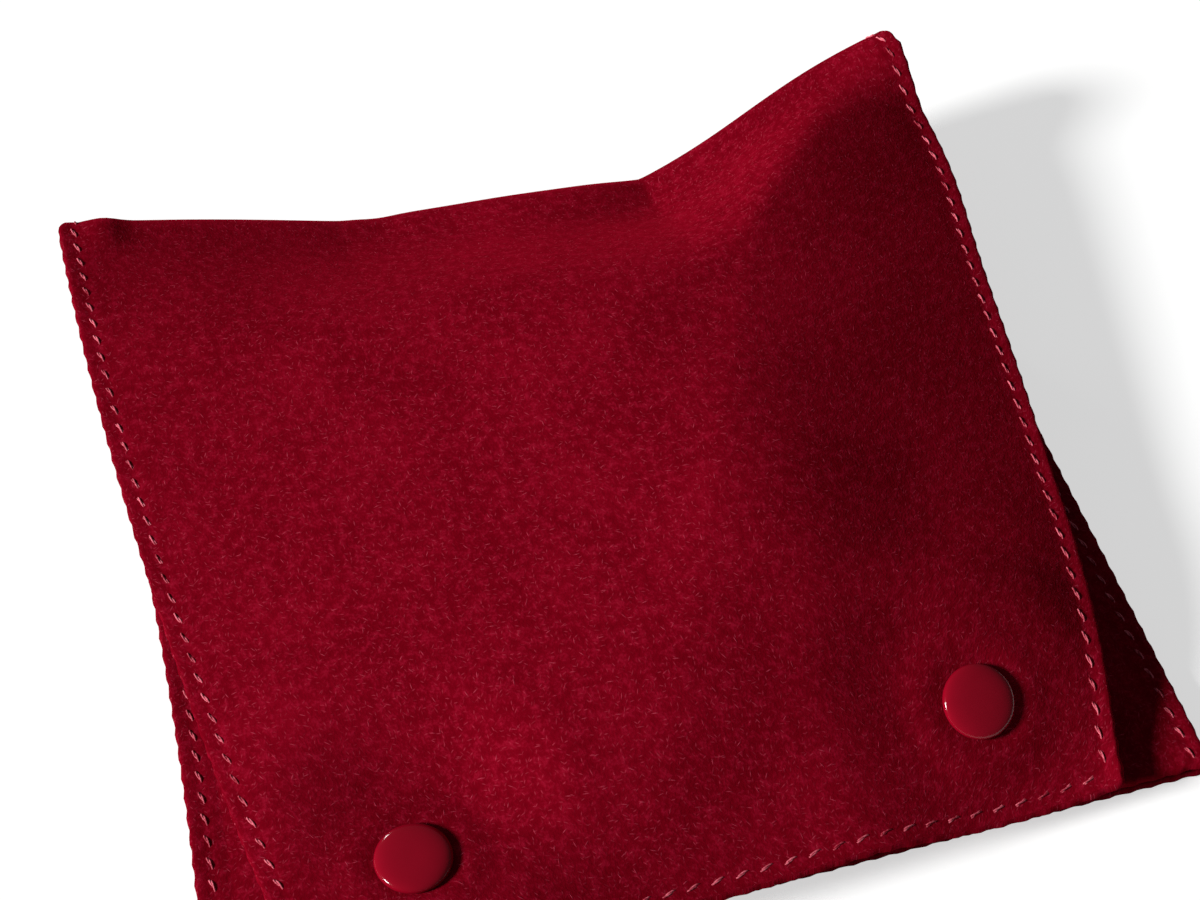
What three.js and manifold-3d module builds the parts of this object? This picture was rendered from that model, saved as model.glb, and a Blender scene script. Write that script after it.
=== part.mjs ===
// Flap pouch in soft suede, lying on its back with the flap closed. Millimetres, +Z up, fold towards +Y.
// One folded panel makes the back and the flap, a second panel makes the pocket front,
// and two press studs hold the flap down.
import * as THREE from 'three';
import { mergeVertices } from 'three/addons/utils/BufferGeometryUtils.js';
import Module from 'manifold-3d';

const wasm = await Module();
wasm.setup();

// Pouch sizes
const BODY_WIDTH = 135;
const BODY_HEIGHT = 131; // bottom seam to the furthest point of the fold
const PANEL = 1.6; // suede thickness
const SEAM_MARGIN = 5; // strip at each side where front and back lie together
const BOTTOM_MARGIN = 2.2; // the same along the bottom
const BOTTOM_CLIMB = 3; // length over which the front leaves the bottom seam
const MOUTH_SETBACK = 23; // front panel's free edge, measured from the fold
const FOLD_RADIUS = 4.2; // mid-thickness of the rolled fold
const FLAP_TIP_WIDTH = 108;
const FLAP_OVERHANG = 3.6; // flap edge past the bottom seam, at mid width
const CLEARANCE = 0.3; // between pieces that rest on each other

// Press stud sizes
const CAP_DIAMETER = 10;
const CAP_HEIGHT = 2.2;
const CAP_RIM = 0.6; // upright edge below the dome
const DOME_FULLNESS = 0.8; // 1 is an ellipse, less is flatter on top with a rounder shoulder
const POST_RADIUS = 1.4;
const POST_ROLL = 0.8; // how far the post's end is rolled out under the socket plate
const POST_ROLL_HEIGHT = 0.3;
const SOCKET_DIAMETER = 8.6;
const SOCKET_PLATE = 0.5;
const SOCKET_LIP = 0.5;
const SOCKET_WALL = 0.8;
const SPRING_WIRE = 0.6;
const SPRING_GAP = Math.PI / 5; // angle left open in the ring
const KNOB_RADIUS = 2.5;
const KNOB_HEIGHT = 0.4;
const NECK_RADIUS = 2;
const STUD_DIAMETER = 8.6;
const STUD_FLANGE = 0.7;
const RIVET_RADIUS = 1.2;
const RIVET_HEAD_DIAMETER = 8;
const RIVET_HEAD = 0.8;
const EDGE_BREAK = 0.25; // small chamfer on the metal rims

// Where the studs sit on the closed flap
const STUD_OFFSET = 38; // from the flap's middle line
const STUD_TO_TIP = 15.2; // from the flap's free edge

// How the soft panels lie: heights above the table and how far the cloth is drawn
const POCKET_RISE = 12; // front panel over the back, at its fullest
const POCKET_FULLEST_Y = 0;
const POCKET_SIDE_FULLNESS = 2.2;
const POCKET_END_FULLNESS = 2.4;
const MOUTH_RISE = 6; // front panel over the back at the middle of the mouth
const FLAP_CROWN = 24;
const CROWN_FALL = 0.06; // the crest falls towards the tip, from the middle of the pouch on
const CROWN_X = 20; // the flap's crest crosses the middle of the pouch here
const CROWN_SLANT = 0.45; // and runs aslant towards the right end of the fold
const CROWN_ROUNDNESS = 1.45; // 1 is a sharp ridge, 2 is an even arch
const LEFT_EDGE_RISE = 12.5;
const RIGHT_EDGE_RISE = 13;
const LEFT_EDGE_SLOPE = 0.1; // the flap's edges fall a little towards the tip
const RIGHT_EDGE_SLOPE = 0.07;
const LEFT_TIP_RISE = 11.5;
const RIGHT_TIP_RISE = 6.3;
const TIP_DROP_FROM = -40; // where the flap starts to dip towards its tip
const TIP_TWIST_FROM = -0.9; // the tip's edge falls from here, in half widths,
const TIP_TWIST_SPAN = 1.6; // over this many half widths
const FOLD_BLEND = 32; // length over which the flap leaves the fold,
const RIGHT_FOLD_BLEND = 12; // shorter at its right end
const RIGHT_FOLD_BLEND_FROM = 0.3; // place and span of that change in half widths
const RIGHT_FOLD_BLEND_SPAN = 0.5;
const LEFT_LIFT = 7.5; // fold corners raised off the table
const RIGHT_LIFT = 14.6;
const LEFT_LIFT_FROM = 0.36; // where each corner starts to rise, in half widths from the middle
const RIGHT_LIFT_FROM = 0.34;
const LEFT_LIFT_BOW = 0.85; // 1 is a straight rise, less is steeper at the crease
const RIGHT_LIFT_BOW = 0.72;
const CREASE_SOFTNESS = 0.07;
const LIFT_LENGTH = 52; // length over which the back panel curls up to its corners
const FOLD_PULL = 6.2; // middle of the fold drawn towards the tip
const FOLD_PULL_AT = -0.09; // place and spread in half widths
const FOLD_PULL_SPREAD = 0.62;
const FOLD_DENT = 6; // and once more in a dent right of the middle
const FOLD_DENT_AT = 0.44;
const FOLD_DENT_SPREAD = 0.33;
const FOLD_FULLNESS = 1.1; // the roll is this much wider between its creases
const FOLD_FULLNESS_AT = 0.1;
const FOLD_FULLNESS_SPREAD = 0.2;
const LEFT_SIDE_DRAW = 3; // left side seam drawn in at mid height
const RIGHT_SWELL = 1.6; // flap's right edge pushed out below the fold
const RIGHT_SWELL_AT = 38;
const RIGHT_SWELL_SPREAD = 16;
const TIP_SKEW = 2; // flap edge lies lower at the left and higher at the right
const TIP_DRIFT = -0.8; // and a little to the left
const FLAP_DIMPLE = { margin: 1.5, blend: 18 }; // cloth that lies flat round a cap, and width of the slope beyond
const FRONT_DIMPLE = { margin: 4.5, blend: 10 };
const SEATS = {
  left: { side: -1, air: 0.3, normal: new THREE.Vector3(0.02, 0.07, 1).normalize() },
  right: { side: 1, air: 0.9, normal: new THREE.Vector3(0.1, -0.45, 0.88).normalize() },
}; // air is the space between a stud's rivet and the back panel

// Mesh fineness
const COLUMNS = 26;
const POCKET_ROWS = 18;
const BACK_END_ROWS = 3;
const FOLD_ROWS = 6;
const FLAP_ROWS = 22;
const LONG_ROWS = POCKET_ROWS + BACK_END_ROWS + FOLD_ROWS + FLAP_ROWS;
const ROUND = 24;
const DOME_STEPS = 5;
const SPRING_BENDS = 12;
const WIRE_SEGMENTS = 3; // to each quarter of the spring wire's section

const suede = new THREE.MeshStandardMaterial({ color: 0x7a0617, roughness: 0.95, metalness: 0 });
const enamel = new THREE.MeshStandardMaterial({ color: 0x7e0618, roughness: 0.25, metalness: 0 });
const steel = new THREE.MeshStandardMaterial({ color: 0xb8b6b0, roughness: 0.35, metalness: 1 });

const halfWidth = BODY_WIDTH / 2;
const bottomY = -BODY_HEIGHT / 2;
const foldY = BODY_HEIGHT / 2;
const foldCentreY = foldY - FOLD_RADIUS - PANEL / 2;
const seamY = bottomY + BOTTOM_MARGIN;
const mouthY = foldY - MOUTH_SETBACK;
const tipY = bottomY - FLAP_OVERHANG;

// Press stud levels along its axis, from the flap's outer face inwards
const socketTop = -PANEL - CLEARANCE;
const rollTop = socketTop - SOCKET_PLATE - CLEARANCE;
const rollBottom = rollTop - POST_ROLL_HEIGHT;
const knobTop = rollBottom - CLEARANCE;
const knobBottom = knobTop - KNOB_HEIGHT;
const hollowTop = knobTop - (KNOB_RADIUS - NECK_RADIUS); // inside of the stud's knob
const springLevel = knobBottom - CLEARANCE / 2 - SPRING_WIRE / 2;
const lipTop = springLevel - SPRING_WIRE / 2 - CLEARANCE / 2;
const socketBottom = lipTop - SOCKET_LIP;
const studTop = socketBottom - CLEARANCE;
const studBottom = studTop - STUD_FLANGE;
const frontFace = studBottom - CLEARANCE;
const rivetTop = frontFace - PANEL - CLEARANCE;
const rivetBottom = rivetTop - RIVET_HEAD;
const panelSpacing = -frontFace; // mid-thickness of the flap to that of the front

function ease(t) {
  const s = THREE.MathUtils.clamp(t, 0, 1);
  return s * s * (3 - 2 * s);
}

// Rise that starts at a soft crease
function creased(t) {
  return (t * t) / (t + CREASE_SOFTNESS);
}

function bell(distance, width) {
  return Math.exp(-((distance / width) ** 2));
}

// Height of the fold's corners above the table, by place across the width from -1 to 1
function foldLift(u) {
  const pastLeft = Math.max(-u - LEFT_LIFT_FROM, 0) / (1 - LEFT_LIFT_FROM);
  const pastRight = Math.max(u - RIGHT_LIFT_FROM, 0) / (1 - RIGHT_LIFT_FROM);
  return LEFT_LIFT * creased(pastLeft) ** LEFT_LIFT_BOW + RIGHT_LIFT * creased(pastRight) ** RIGHT_LIFT_BOW;
}

function foldRadius(u) {
  return FOLD_RADIUS + FOLD_FULLNESS * bell(u - FOLD_FULLNESS_AT, FOLD_FULLNESS_SPREAD);
}

// Line about which the fold rolls, drawn in between its corners and where the roll is wider
function foldLine(u) {
  const pull = FOLD_PULL * bell(u - FOLD_PULL_AT, FOLD_PULL_SPREAD);
  const dent = FOLD_DENT * bell(u - FOLD_DENT_AT, FOLD_DENT_SPREAD);
  return foldCentreY - pull - dent - 2 * (foldRadius(u) - FOLD_RADIUS);
}

function backHeight(u, y) {
  const fromFold = foldLine(u) - y;
  return PANEL / 2 + foldLift(u) * ease(1 - fromFold / LIFT_LENGTH);
}

function sideDraw(u, y) {
  const share = Math.max(-u, 0) ** 2;
  return LEFT_SIDE_DRAW * share * Math.max(1 - (y / foldY) ** 2, 0);
}

function rightSwell(u, y) {
  return RIGHT_SWELL * Math.max(u, 0) ** 2 * bell(y - RIGHT_SWELL_AT, RIGHT_SWELL_SPREAD);
}

// Share of the way from the fold to the tip, squared, which shapes the flap's curved sides
function flapTaper(y) {
  return Math.max((foldY - y) / (foldY - tipY), 0) ** 2;
}

function flapHalfWidth(y) {
  return halfWidth - (halfWidth - FLAP_TIP_WIDTH / 2) * flapTaper(y);
}

function flapTip(u) {
  return tipY + TIP_SKEW * u;
}

// Open surface of the flap, before the studs pull it down
function flapDrape(x, y) {
  const edge = flapHalfWidth(y);
  const crest = CROWN_X + CROWN_SLANT * y;
  const leftOfCrest = x < crest;
  const reach = leftOfCrest ? (crest - x) / (edge + crest) : (x - crest) / (edge - crest);
  const edgeRise = leftOfCrest ? LEFT_EDGE_RISE + LEFT_EDGE_SLOPE * y : RIGHT_EDGE_RISE + RIGHT_EDGE_SLOPE * y;
  const crown = FLAP_CROWN + CROWN_FALL * Math.min(y, 0);
  const arched = edgeRise + (crown - edgeRise) * (1 - reach ** CROWN_ROUNDNESS);
  const twist = ease((x / edge - TIP_TWIST_FROM) / TIP_TWIST_SPAN);
  const tipRise = THREE.MathUtils.lerp(LEFT_TIP_RISE, RIGHT_TIP_RISE, twist);
  const draped = THREE.MathUtils.lerp(arched, tipRise, ease((TIP_DROP_FROM - y) / (TIP_DROP_FROM - tipY)));
  const u = x / halfWidth;
  const foldTop = PANEL / 2 + foldLift(u) + 2 * foldRadius(u);
  const toRight = ease((u - RIGHT_FOLD_BLEND_FROM) / RIGHT_FOLD_BLEND_SPAN);
  const blend = THREE.MathUtils.lerp(FOLD_BLEND, RIGHT_FOLD_BLEND, toRight);
  return THREE.MathUtils.lerp(foldTop, draped, ease((foldLine(u) - y) / blend));
}

// Surface pulled flat onto the seats of the studs
function seated(x, y, height, depth, dimple) {
  let z = height;
  for (const seat of Object.values(SEATS)) {
    const centre = seatCentre(seat).addScaledVector(seat.normal, -depth);
    const flat = centre.z - (seat.normal.x * (x - centre.x) + seat.normal.y * (y - centre.y)) / seat.normal.z;
    const beyond = Math.hypot(x - centre.x, y - centre.y) - CAP_DIAMETER / 2 - dimple.margin;
    z = THREE.MathUtils.lerp(z, flat, ease(1 - beyond / dimple.blend));
  }
  return z;
}

// Mid-thickness of the flap under a cap, as high as the stud's rivet needs over the back panel
function seatCentre(seat) {
  const y = flapTip((seat.side * STUD_OFFSET) / halfWidth) + STUD_TO_TIP;
  const tiltDrop = (RIVET_HEAD_DIAMETER / 2) * Math.sqrt(1 - seat.normal.z ** 2);
  const z = PANEL + seat.air + tiltDrop + (-PANEL / 2 - rivetBottom) * seat.normal.z;
  return new THREE.Vector3(seat.side * STUD_OFFSET + TIP_DRIFT * flapTaper(y), y, z);
}

// Rows of cells over the pocket: the bottom seam, the climb out of it, then even rows to the mouth
function pocketRow(along) {
  const row = along * POCKET_ROWS;
  const climbY = seamY + BOTTOM_CLIMB;
  if (row < 1) {
    return THREE.MathUtils.lerp(bottomY, seamY, row);
  }
  if (row < 2) {
    return THREE.MathUtils.lerp(seamY, climbY, row - 1);
  }
  return THREE.MathUtils.lerp(climbY, mouthY, (row - 2) / (POCKET_ROWS - 2));
}

// Mid-thickness of the back, from the bottom seam to the level of the mouth
function backSurface(across, along) {
  const y = pocketRow(along);
  return new THREE.Vector3(across * halfWidth + sideDraw(across, y), y, backHeight(across, y));
}

// Mid-thickness of the pocket front: it lies on the back at the seams and stands off it between them
function frontSurface(across, along) {
  const point = backSurface(across, along);
  point.addScaledVector(surfaceNormal(backSurface, across, along), PANEL + CLEARANCE);
  const toSide = Math.min(Math.abs(across * halfWidth) / (halfWidth - SEAM_MARGIN), 1);
  const sides = 1 - toSide ** POCKET_SIDE_FULLNESS;
  const below = Math.max(POCKET_FULLEST_Y - point.y, 0) / (POCKET_FULLEST_Y - seamY);
  const above = Math.max(point.y - POCKET_FULLEST_Y, 0) / (mouthY - POCKET_FULLEST_Y);
  const belowRise = POCKET_RISE * (1 - Math.min(below, 1) ** POCKET_END_FULLNESS);
  const rise = belowRise - (POCKET_RISE - MOUTH_RISE) * above ** 2;
  const free = seated(point.x, point.y, point.z + rise * sides, panelSpacing, FRONT_DIMPLE);
  point.z = Math.max(point.z, THREE.MathUtils.lerp(point.z, free, ease((point.y - seamY) / BOTTOM_CLIMB)));
  return point;
}

// Mid-thickness of the long panel, from the bottom seam up the back, round the fold and down the flap
function backFlapSurface(across, along) {
  const row = along * LONG_ROWS;
  const line = foldLine(across);
  if (row <= POCKET_ROWS) {
    return backSurface(across, row / POCKET_ROWS);
  }
  const foldRow = row - POCKET_ROWS - BACK_END_ROWS;
  if (foldRow <= 0) {
    const y = THREE.MathUtils.lerp(line, mouthY, -foldRow / BACK_END_ROWS);
    return new THREE.Vector3(across * halfWidth + sideDraw(across, y), y, backHeight(across, y));
  }
  if (foldRow < FOLD_ROWS) {
    const turn = Math.PI * (foldRow / FOLD_ROWS - 0.5);
    const radius = foldRadius(across);
    const centreZ = backHeight(across, line) + radius;
    const y = line + radius * Math.cos(turn);
    return new THREE.Vector3(across * halfWidth, y, centreZ + radius * Math.sin(turn));
  }
  const y = THREE.MathUtils.lerp(line, flapTip(across), (foldRow - FOLD_ROWS) / FLAP_ROWS);
  const x = across * flapHalfWidth(y) + TIP_DRIFT * flapTaper(y) + rightSwell(across, y);
  return new THREE.Vector3(x, y, seated(x, y, flapDrape(x, y), 0, FLAP_DIMPLE));
}

function surfaceNormal(surface, across, along) {
  const step = 1e-4;
  const rightwards = surface(Math.min(across + step, 1), along);
  const onwards = surface(across, Math.min(along + step, 1));
  rightwards.sub(surface(Math.max(across - step, -1), along));
  onwards.sub(surface(across, Math.max(along - step, 0)));
  return rightwards.cross(onwards).normalize();
}

// Closed sheet of even thickness: a flat box of cells bent along a mid-surface
function bentSheet(columns, rows, surface) {
  const geometry = new THREE.BoxGeometry(2, 1, 2, columns, rows, 1);
  const position = geometry.attributes.position;
  for (let i = 0; i < position.count; i++) {
    const across = position.getX(i);
    const along = position.getY(i) + 0.5;
    const offset = (position.getZ(i) * PANEL) / 2;
    const point = surface(across, along).addScaledVector(surfaceNormal(surface, across, along), offset);
    position.setXYZ(i, point.x, point.y, point.z);
  }
  return geometry;
}

function toSolid(geometry) {
  const bare = geometry.clone();
  bare.deleteAttribute('normal');
  bare.deleteAttribute('uv');
  const merged = mergeVertices(bare, 1e-4);
  const mesh = new wasm.Mesh({
    numProp: 3,
    vertProperties: new Float32Array(merged.attributes.position.array),
    triVerts: new Uint32Array(merged.index.array),
  });
  return new wasm.Manifold(mesh);
}

function toGeometry(solid) {
  const mesh = solid.getMesh();
  const geometry = new THREE.BufferGeometry();
  geometry.setAttribute('position', new THREE.BufferAttribute(mesh.vertProperties, 3));
  geometry.setIndex(new THREE.BufferAttribute(mesh.triVerts, 1));
  geometry.computeVertexNormals();
  return geometry;
}

// Round holes through a panel where the studs' posts pass
function punched(sheet, depth, radius) {
  let solid = toSolid(sheet);
  for (const seat of Object.values(SEATS)) {
    const punch = new THREE.CylinderGeometry(radius, radius, 3 * PANEL, ROUND);
    punch.rotateX(Math.PI / 2);
    punch.applyQuaternion(standing(seat));
    const centre = seatCentre(seat).addScaledVector(seat.normal, -depth);
    punch.translate(centre.x, centre.y, centre.z);
    solid = solid.subtract(toSolid(punch));
  }
  return toGeometry(solid);
}

function standing(seat) {
  return new THREE.Quaternion().setFromUnitVectors(new THREE.Vector3(0, 0, 1), seat.normal);
}

function named(name, geometry, material) {
  const mesh = new THREE.Mesh(geometry, material);
  mesh.name = name;
  return mesh;
}

// Body of revolution about Z from radius and height pairs, outside face upwards
function turned(profile) {
  const points = profile.map(([radius, height]) => new THREE.Vector2(radius, height));
  return new THREE.LatheGeometry(points, ROUND).rotateX(Math.PI / 2);
}

// Enamelled dome with the post that goes through the flap and is rolled out inside the socket
function capGeometry() {
  const radius = CAP_DIAMETER / 2;
  const dome = [];
  for (let i = 1; i < DOME_STEPS; i++) {
    const turn = (i / DOME_STEPS) * (Math.PI / 2);
    const height = CLEARANCE + CAP_RIM + (CAP_HEIGHT - CAP_RIM) * Math.sin(turn) ** DOME_FULLNESS;
    dome.push([radius * Math.cos(turn) ** DOME_FULLNESS, height]);
  }
  return turned([
    [0, rollBottom],
    [POST_RADIUS + POST_ROLL, rollBottom],
    [POST_RADIUS + POST_ROLL, rollTop],
    [POST_RADIUS, rollTop],
    [POST_RADIUS, CLEARANCE],
    [radius - EDGE_BREAK, CLEARANCE],
    [radius, CLEARANCE + EDGE_BREAK],
    [radius, CLEARANCE + CAP_RIM],
    ...dome,
    [0, CLEARANCE + CAP_HEIGHT],
  ]);
}

// Round box under the flap: a plate held by the post, a wall, and a lip that keeps the spring in
function socketGeometry() {
  const radius = SOCKET_DIAMETER / 2;
  const bore = POST_RADIUS + CLEARANCE;
  const entry = KNOB_RADIUS + CLEARANCE;
  const chamber = radius - SOCKET_WALL;
  return turned([
    [entry, socketBottom],
    [radius - EDGE_BREAK, socketBottom],
    [radius, socketBottom + EDGE_BREAK],
    [radius, socketTop - EDGE_BREAK],
    [radius - EDGE_BREAK, socketTop],
    [bore, socketTop],
    [bore, socketTop - SOCKET_PLATE],
    [chamber, socketTop - SOCKET_PLATE],
    [chamber, lipTop],
    [entry, lipTop],
    [entry, socketBottom],
  ]);
}

// Open wire ring that grips the stud's neck, lying on the socket's lip
function springGeometry() {
  const ringRadius = NECK_RADIUS + CLEARANCE + SPRING_WIRE / 2;
  const path = [];
  for (let i = 0; i <= SPRING_BENDS; i++) {
    const turn = SPRING_GAP / 2 + (i / SPRING_BENDS) * (2 * Math.PI - SPRING_GAP);
    path.push(new THREE.Vector3(ringRadius * Math.cos(turn), ringRadius * Math.sin(turn), springLevel));
  }
  const section = new THREE.Shape().absarc(0, 0, SPRING_WIRE / 2, 0, 2 * Math.PI);
  const sweep = {
    steps: 2 * SPRING_BENDS,
    curveSegments: WIRE_SEGMENTS,
    extrudePath: new THREE.CatmullRomCurve3(path),
  };
  return new THREE.ExtrudeGeometry(section, sweep);
}

// Flange on the front panel with a hollow neck and knob
function studGeometry() {
  const radius = STUD_DIAMETER / 2;
  const hollow = RIVET_RADIUS + CLEARANCE;
  return turned([
    [0, hollowTop],
    [hollow, hollowTop],
    [hollow, studBottom],
    [radius - EDGE_BREAK, studBottom],
    [radius, studBottom + EDGE_BREAK],
    [radius, studTop],
    [NECK_RADIUS, studTop],
    [NECK_RADIUS, knobBottom - EDGE_BREAK],
    [KNOB_RADIUS, knobBottom],
    [KNOB_RADIUS - EDGE_BREAK, knobTop],
    [0, knobTop],
  ]);
}

// Flat-headed rivet inside the pocket that holds the stud
function rivetGeometry() {
  const radius = RIVET_HEAD_DIAMETER / 2;
  const tip = hollowTop - CLEARANCE;
  return turned([
    [0, rivetBottom],
    [radius - EDGE_BREAK, rivetBottom],
    [radius, rivetBottom + EDGE_BREAK],
    [radius, rivetTop],
    [RIVET_RADIUS, rivetTop],
    [RIVET_RADIUS, tip],
    [0, tip],
  ]);
}

function pressStud(name, seat) {
  const group = new THREE.Group();
  const outerFace = seatCentre(seat).addScaledVector(seat.normal, PANEL / 2);
  group.position.copy(outerFace);
  group.quaternion.copy(standing(seat));
  group.add(named(`${name}_cap`, capGeometry(), enamel));
  group.add(named(`${name}_socket`, socketGeometry(), steel));
  group.add(named(`${name}_socket_spring`, springGeometry(), steel));
  group.add(named(`${name}_stud`, studGeometry(), steel));
  group.add(named(`${name}_stud_rivet`, rivetGeometry(), steel));
  return group;
}

const pouch = new THREE.Group();
const longSheet = bentSheet(COLUMNS, LONG_ROWS, backFlapSurface);
const frontSheet = bentSheet(COLUMNS, POCKET_ROWS, frontSurface);
pouch.add(named('back_flap_panel', punched(longSheet, 0, POST_RADIUS + CLEARANCE), suede));
pouch.add(named('front_panel', punched(frontSheet, panelSpacing, RIVET_RADIUS + CLEARANCE), suede));
for (const [name, seat] of Object.entries(SEATS)) {
  pouch.add(pressStud(name, seat));
}

export default pouch;
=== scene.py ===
"""Flap pouch in wine-red suede, lying on its back with the flap closed by two enamelled press studs."""
import math

import bpy
import numpy as np
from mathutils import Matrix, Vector


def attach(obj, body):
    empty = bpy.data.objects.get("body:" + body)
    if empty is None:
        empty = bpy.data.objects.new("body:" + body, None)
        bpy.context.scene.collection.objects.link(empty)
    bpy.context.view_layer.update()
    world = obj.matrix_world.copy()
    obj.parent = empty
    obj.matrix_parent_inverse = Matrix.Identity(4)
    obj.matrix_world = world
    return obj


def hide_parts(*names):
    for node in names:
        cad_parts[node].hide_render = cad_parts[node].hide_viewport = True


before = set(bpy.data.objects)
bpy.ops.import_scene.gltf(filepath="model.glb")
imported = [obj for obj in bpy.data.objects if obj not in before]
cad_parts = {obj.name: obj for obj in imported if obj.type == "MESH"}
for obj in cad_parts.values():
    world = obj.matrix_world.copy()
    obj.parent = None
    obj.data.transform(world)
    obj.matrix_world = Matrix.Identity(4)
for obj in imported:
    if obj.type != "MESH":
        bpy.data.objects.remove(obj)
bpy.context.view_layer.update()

MM = 0.001

# Pouch sizes in millimetres, the same as the solid model's
BODY_WIDTH = 135
BODY_HEIGHT = 131
PANEL = 1.6
SEAM_MARGIN = 5
BOTTOM_MARGIN = 2.2
BOTTOM_CLIMB = 3
MOUTH_SETBACK = 23
FOLD_RADIUS = 4.2
FLAP_TIP_WIDTH = 108
FLAP_OVERHANG = 3.6
CLEARANCE = 0.3

# Press stud sizes in millimetres; the dome is a little lower than the solid model's
CAP_DIAMETER = 10
CAP_HEIGHT = 1.5
CAP_RIM = 0.6
DOME_FULLNESS = 0.74
POST_RADIUS = 1.4
POST_ROLL = 0.8
POST_ROLL_HEIGHT = 0.3
RIVET_HEAD_DIAMETER = 8
STUD_OFFSET = 38
STUD_TO_TIP = 15.2
ROLL_TOP = -2.7  # rolled end of the cap's post, below the flap's outer face
PANEL_SPACING = 6.4  # mid-thickness of the flap to that of the pocket front, at a stud
RIVET_DEPTH = 8.3  # mid-thickness of the flap to the underside of the stud's rivet

# How the soft panels lie: heights and lengths in millimetres, places across the width from -1 to 1
POCKET_RISE = 12
POCKET_FULLEST_Y = 0
POCKET_SIDE_FULLNESS = 2.2
POCKET_END_FULLNESS = 2.4
MOUTH_RISE = 6
FLAP_CROWN = 24
CROWN_FALL = 0.06
CROWN_X = 20
CROWN_SLANT = 0.45
CROWN_ROUNDNESS = 1.45
LEFT_EDGE_RISE = 12.5
RIGHT_EDGE_RISE = 13
LEFT_EDGE_SLOPE = 0.1
RIGHT_EDGE_SLOPE = 0.07
LEFT_TIP_RISE = 11.5
RIGHT_TIP_RISE = 6.3
TIP_DROP_FROM = -40
TIP_TWIST_FROM = -0.9
TIP_TWIST_SPAN = 1.6
FOLD_BLEND = 32
RIGHT_FOLD_BLEND = 12
RIGHT_FOLD_BLEND_FROM = 0.3
RIGHT_FOLD_BLEND_SPAN = 0.5
LEFT_LIFT = 7.5
RIGHT_LIFT = 14.6
LEFT_LIFT_FROM = 0.36
RIGHT_LIFT_FROM = 0.34
LEFT_LIFT_BOW = 0.85
RIGHT_LIFT_BOW = 0.72
CREASE_SOFTNESS = 0.07
LIFT_LENGTH = 52
FOLD_PULL = 6.2
FOLD_PULL_AT = -0.09
FOLD_PULL_SPREAD = 0.62
FOLD_DENT = 6
FOLD_DENT_AT = 0.44
FOLD_DENT_SPREAD = 0.33
FOLD_FULLNESS = 1.1
FOLD_FULLNESS_AT = 0.1
FOLD_FULLNESS_SPREAD = 0.2
LEFT_SIDE_DRAW = 3
RIGHT_SWELL = 1.6
RIGHT_SWELL_AT = 38
RIGHT_SWELL_SPREAD = 16
TIP_SKEW = 2
TIP_DRIFT = -0.8
FLAP_DIMPLE = {"margin": 1.5, "blend": 18}
FRONT_DIMPLE = {"margin": 4.5, "blend": 10}
SEAT_SWELL = 0.45  # the cloth swells up in a soft ring round a cap
SEAT_SWELL_RADIUS = 7.2
SEAT_SWELL_SPREAD = 2.4
CORNER_ROUND = 1.5  # the fold's ends draw in
CORNER_SHARPNESS = 15
SEATS = {
    "left": {"side": -1, "air": 0.3, "normal": Vector((0.02, 0.07, 1)).normalized()},
    "right": {"side": 1, "air": 0.9, "normal": Vector((0.1, -0.45, 0.88)).normalized()},
}

# Small swells and hollows of the flap, too slight for the solid model: place, spread along x and y, height
SMALL_WAVES = (
    {"at": (19, -62), "spread": (10, 16), "height": 1.4},  # between the studs
    {"at": (-16, -57), "spread": (16, 14), "height": -1.5},  # right of the left stud
    {"at": (-55, -40), "spread": (11, 15), "height": 1.4},  # left of it
    {"at": (22, -25), "spread": (15, 22), "height": 2.4},  # above the right stud
    {"at": (6, 15), "spread": (17, 25), "height": 1.2},  # along the crest
    {"at": (2, 47), "spread": (13, 9), "height": 0.9},  # below the middle of the fold
    {"at": (-45, 50), "spread": (14, 11), "height": 1.0},  # at the fold's left end
    {"at": (51, -34), "spread": (11, 12), "height": 1.6},  # right edge above the right stud
)

# Small bumps along the fold, by place across the width from -1 to 1
FOLD_BUMPS = (
    {"at": -0.9, "spread": 0.04, "height": 0.9},
    {"at": -0.28, "spread": 0.05, "height": -0.5},
    {"at": 0.24, "spread": 0.1, "height": 0.5},
)
FOLD_BUMP_LENGTH = 6

# Sewing and cut edges
STITCH_PITCH = 3.25
STITCH_LENGTH = 2.35  # with the ends that dive into the cloth
STITCH_INSET = 2.3  # seam line to the cut edge
STITCH_SLANT = math.radians(20)
STRAND_RADIUS = 0.115
STRAND_TWIST = 0.7  # half turns along half a stitch
STITCH_RISE = 0.06
STITCH_DIVE = 0.35
STITCH_FLATNESS = 4  # higher: flat for longer before the ends dive
STITCH_REACH = 0.5  # length either side of a stitch that gives its direction
UNDERSIDE_SINK = 0.25  # stitches of the back are pressed into the cloth
GROOVE_DEPTH = 0.12  # cloth drawn in along the seam line
GROOVE_WIDTH = 0.7
GROOVE_BEAT = 0.15  # half the swing of that depth from stitch to stitch, as a share
HEM_CURL = {"left": 0.1, "right": 0.7, "tip": 0.2}  # the margin outside the seam stands up a little
HEM_CURL_WIDTH = 3.7
HEM_CURL_BEND = 1.5
HEM_CURL_GROWTH = 12  # length below the fold over which it begins
EDGE_ROUND = 0.45
SCALLOP = 0.13  # edge drawn in at each stitch

# Mesh fineness
CLOTH_CELL = 1.0
EDGE_CELL = 0.4
EDGE_BAND = 4.8
FOLD_ROWS = 22
RIM_STEPS = 6
CAP_ROUND = 96
DOME_STEPS = 28
CAP_RIM_STEPS = 7
FLOOR_SIDES = 64
STRAND_SIDES = 6
STRAND_RINGS = 9

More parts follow.
